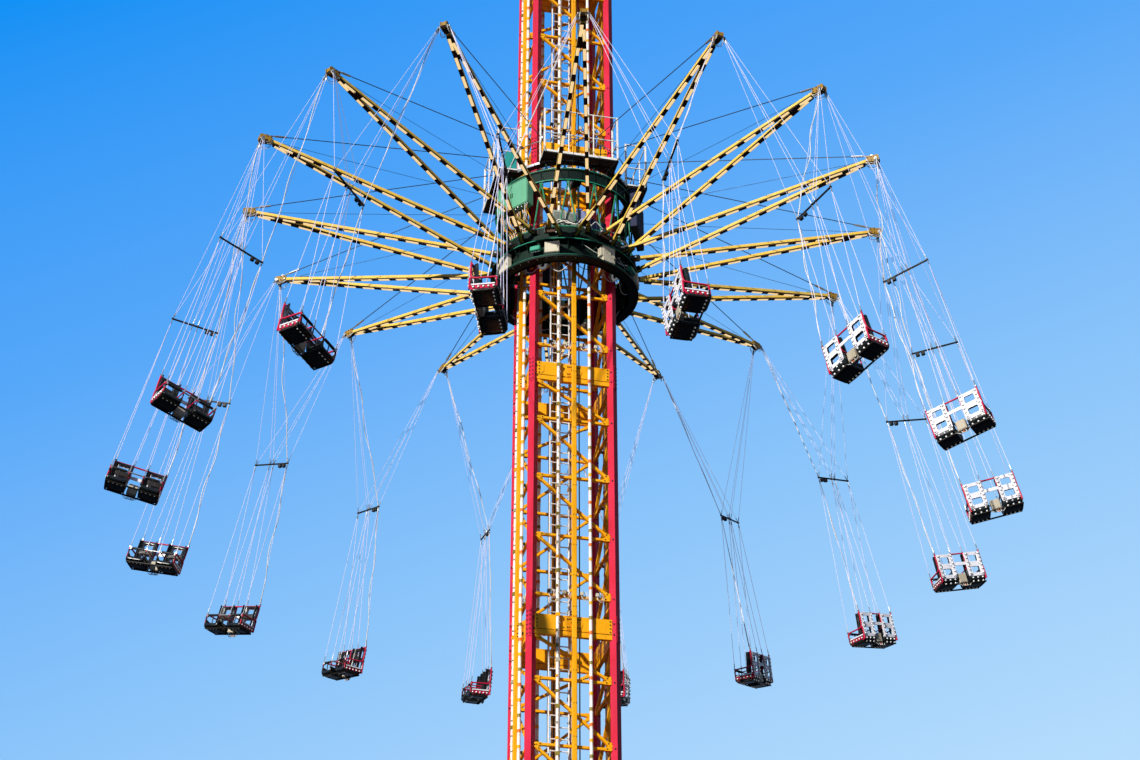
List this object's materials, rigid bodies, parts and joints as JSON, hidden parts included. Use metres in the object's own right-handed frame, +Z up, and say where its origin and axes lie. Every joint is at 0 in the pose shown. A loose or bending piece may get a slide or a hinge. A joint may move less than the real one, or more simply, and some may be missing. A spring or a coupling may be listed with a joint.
{
  "type": "chair swing ride",
  "caption": "Tall chair swing ride: lattice mast, climbing carriage, turning star of V arms with stays, and double chairs hung on fanned cables between the arm tips.",
  "frame": {"origin": "centre of the base frame's underside, under the mast's axis", "axes": "+Z up along the mast; -Y is the side with the carriage's louvred cabinet, and +X is to the right of one who faces that side"},
  "size_m": [19.2688, 19.2688, 39.12],
  "materials": {
    "mast_crimson": "gloss",
    "mast_yellow": "gloss",
    "arm_yellow": "gloss",
    "frame_green": "satin",
    "steel_rope": "satin",
    "galvanised": "satin",
    "cabinet_cream": "satin",
    "cabinet_green": "satin",
    "cabinet_blue": "satin",
    "seat_red": "gloss",
    "seat_white": "gloss",
    "seat_pad": "matte",
    "lamp_white": "satin"
  },
  "bodies": {
    "tower": {"base_frame": "frame_green", "mast_chord_front_left": "mast_crimson", "mast_chord_front_right": "mast_crimson", "mast_chord_back_right": "mast_crimson", "mast_chord_back_left": "mast_crimson", "mast_face_front": "mast_yellow", "mast_face_right": "mast_yellow", "mast_face_back": "mast_yellow", "mast_face_left": "mast_yellow", "mast_ladder": "galvanised", "head_frame": "mast_yellow", "hoist_ropes": "steel_rope"},
    "carriage": {"carriage_frame": "frame_green", "cabinet_louvred": "cabinet_cream", "cabinet_blue": "cabinet_blue"},
    "star": {"star_cage": "frame_green", "service_platform": "galvanised", "star_stays": "steel_rope", "cabinet_green": "cabinet_green", "arm_pair_1": "arm_yellow", "arm_pair_2": "arm_yellow", "arm_pair_3": "arm_yellow", "arm_pair_4": "arm_yellow", "arm_pair_5": "arm_yellow", "arm_pair_6": "arm_yellow", "arm_pair_7": "arm_yellow", "arm_pair_8": "arm_yellow"},
    "chair_01": {"hanger_01": "steel_rope", "seats_01": "seat_red"},
    "chair_02": {"hanger_02": "steel_rope", "seats_02": "seat_red"},
    "chair_03": {"hanger_03": "steel_rope", "seats_03": "seat_red"},
    "chair_04": {"hanger_04": "steel_rope", "seats_04": "seat_red"},
    "chair_05": {"hanger_05": "steel_rope", "seats_05": "seat_red"},
    "chair_06": {"hanger_06": "steel_rope", "seats_06": "seat_red"},
    "chair_07": {"hanger_07": "steel_rope", "seats_07": "seat_red"},
    "chair_08": {"hanger_08": "steel_rope", "seats_08": "seat_red"},
    "chair_09": {"hanger_09": "steel_rope", "seats_09": "seat_red"},
    "chair_10": {"hanger_10": "steel_rope", "seats_10": "seat_red"},
    "chair_11": {"hanger_11": "steel_rope", "seats_11": "seat_red"},
    "chair_12": {"hanger_12": "steel_rope", "seats_12": "seat_red"},
    "chair_13": {"hanger_13": "steel_rope", "seats_13": "seat_red"},
    "chair_14": {"hanger_14": "steel_rope", "seats_14": "seat_red"},
    "chair_15": {"hanger_15": "steel_rope", "seats_15": "seat_red"},
    "chair_16": {"hanger_16": "steel_rope", "seats_16": "seat_red"}
  },
  "joints": [
    {"name": "lift", "type": "slide", "parent": "tower", "child": "carriage", "axis": [0, 0, 1], "range_m": [-21.6, 4.2]},
    {"name": "spin", "type": "hinge", "parent": "carriage", "child": "star", "pos_m": [0, 0, 29.2], "axis": [0, 0, 1], "continuous": true},
    {"name": "swing_01", "type": "hinge", "parent": "star", "child": "chair_01", "pos_m": [6.6174, 2.98092, 30.6], "axis": [0.4107, -0.9118, 0], "range_deg": [-12.5, 32.5]},
    {"name": "swing_02", "type": "hinge", "parent": "star", "child": "chair_02", "pos_m": [4.97293, 5.28638, 30.6], "axis": [0.7284, -0.6852, 0], "range_deg": [-12.5, 32.5]},
    {"name": "swing_03", "type": "hinge", "parent": "star", "child": "chair_03", "pos_m": [2.57138, 6.78704, 30.6], "axis": [0.9351, -0.3543, 0], "range_deg": [-12.5, 32.5]},
    {"name": "swing_04", "type": "hinge", "parent": "star", "child": "chair_04", "pos_m": [-0.22164, 7.25443, 30.6], "axis": [0.9995, 0.0305, 0], "range_deg": [-12.5, 32.5]},
    {"name": "swing_05", "type": "hinge", "parent": "star", "child": "chair_05", "pos_m": [-2.98092, 6.6174, 30.6], "axis": [0.9118, 0.4107, 0], "range_deg": [-12.5, 32.5]},
    {"name": "swing_06", "type": "hinge", "parent": "star", "child": "chair_06", "pos_m": [-5.28638, 4.97293, 30.6], "axis": [0.6852, 0.7284, 0], "range_deg": [-12.5, 32.5]},
    {"name": "swing_07", "type": "hinge", "parent": "star", "child": "chair_07", "pos_m": [-6.78704, 2.57138, 30.6], "axis": [0.3543, 0.9351, 0], "range_deg": [-12.5, 32.5]},
    {"name": "swing_08", "type": "hinge", "parent": "star", "child": "chair_08", "pos_m": [-7.25443, -0.22164, 30.6], "axis": [-0.0305, 0.9995, 0], "range_deg": [-12.5, 32.5]},
    {"name": "swing_09", "type": "hinge", "parent": "star", "child": "chair_09", "pos_m": [-6.6174, -2.98092, 30.6], "axis": [-0.4107, 0.9118, 0], "range_deg": [-12.5, 32.5]},
    {"name": "swing_10", "type": "hinge", "parent": "star", "child": "chair_10", "pos_m": [-4.97293, -5.28638, 30.6], "axis": [-0.7284, 0.6852, 0], "range_deg": [-12.5, 32.5]},
    {"name": "swing_11", "type": "hinge", "parent": "star", "child": "chair_11", "pos_m": [-2.57138, -6.78704, 30.6], "axis": [-0.9351, 0.3543, 0], "range_deg": [-12.5, 32.5]},
    {"name": "swing_12", "type": "hinge", "parent": "star", "child": "chair_12", "pos_m": [0.22164, -7.25443, 30.6], "axis": [-0.9995, -0.0305, 0], "range_deg": [-12.5, 32.5]},
    {"name": "swing_13", "type": "hinge", "parent": "star", "child": "chair_13", "pos_m": [2.98092, -6.6174, 30.6], "axis": [-0.9118, -0.4107, 0], "range_deg": [-12.5, 32.5]},
    {"name": "swing_14", "type": "hinge", "parent": "star", "child": "chair_14", "pos_m": [5.28638, -4.97293, 30.6], "axis": [-0.6852, -0.7284, 0], "range_deg": [-12.5, 32.5]},
    {"name": "swing_15", "type": "hinge", "parent": "star", "child": "chair_15", "pos_m": [6.78704, -2.57138, 30.6], "axis": [-0.3543, -0.9351, 0], "range_deg": [-12.5, 32.5]},
    {"name": "swing_16", "type": "hinge", "parent": "star", "child": "chair_16", "pos_m": [7.25443, 0.22164, 30.6], "axis": [0.0305, -0.9995, 0], "range_deg": [-12.5, 32.5]}
  ]
}
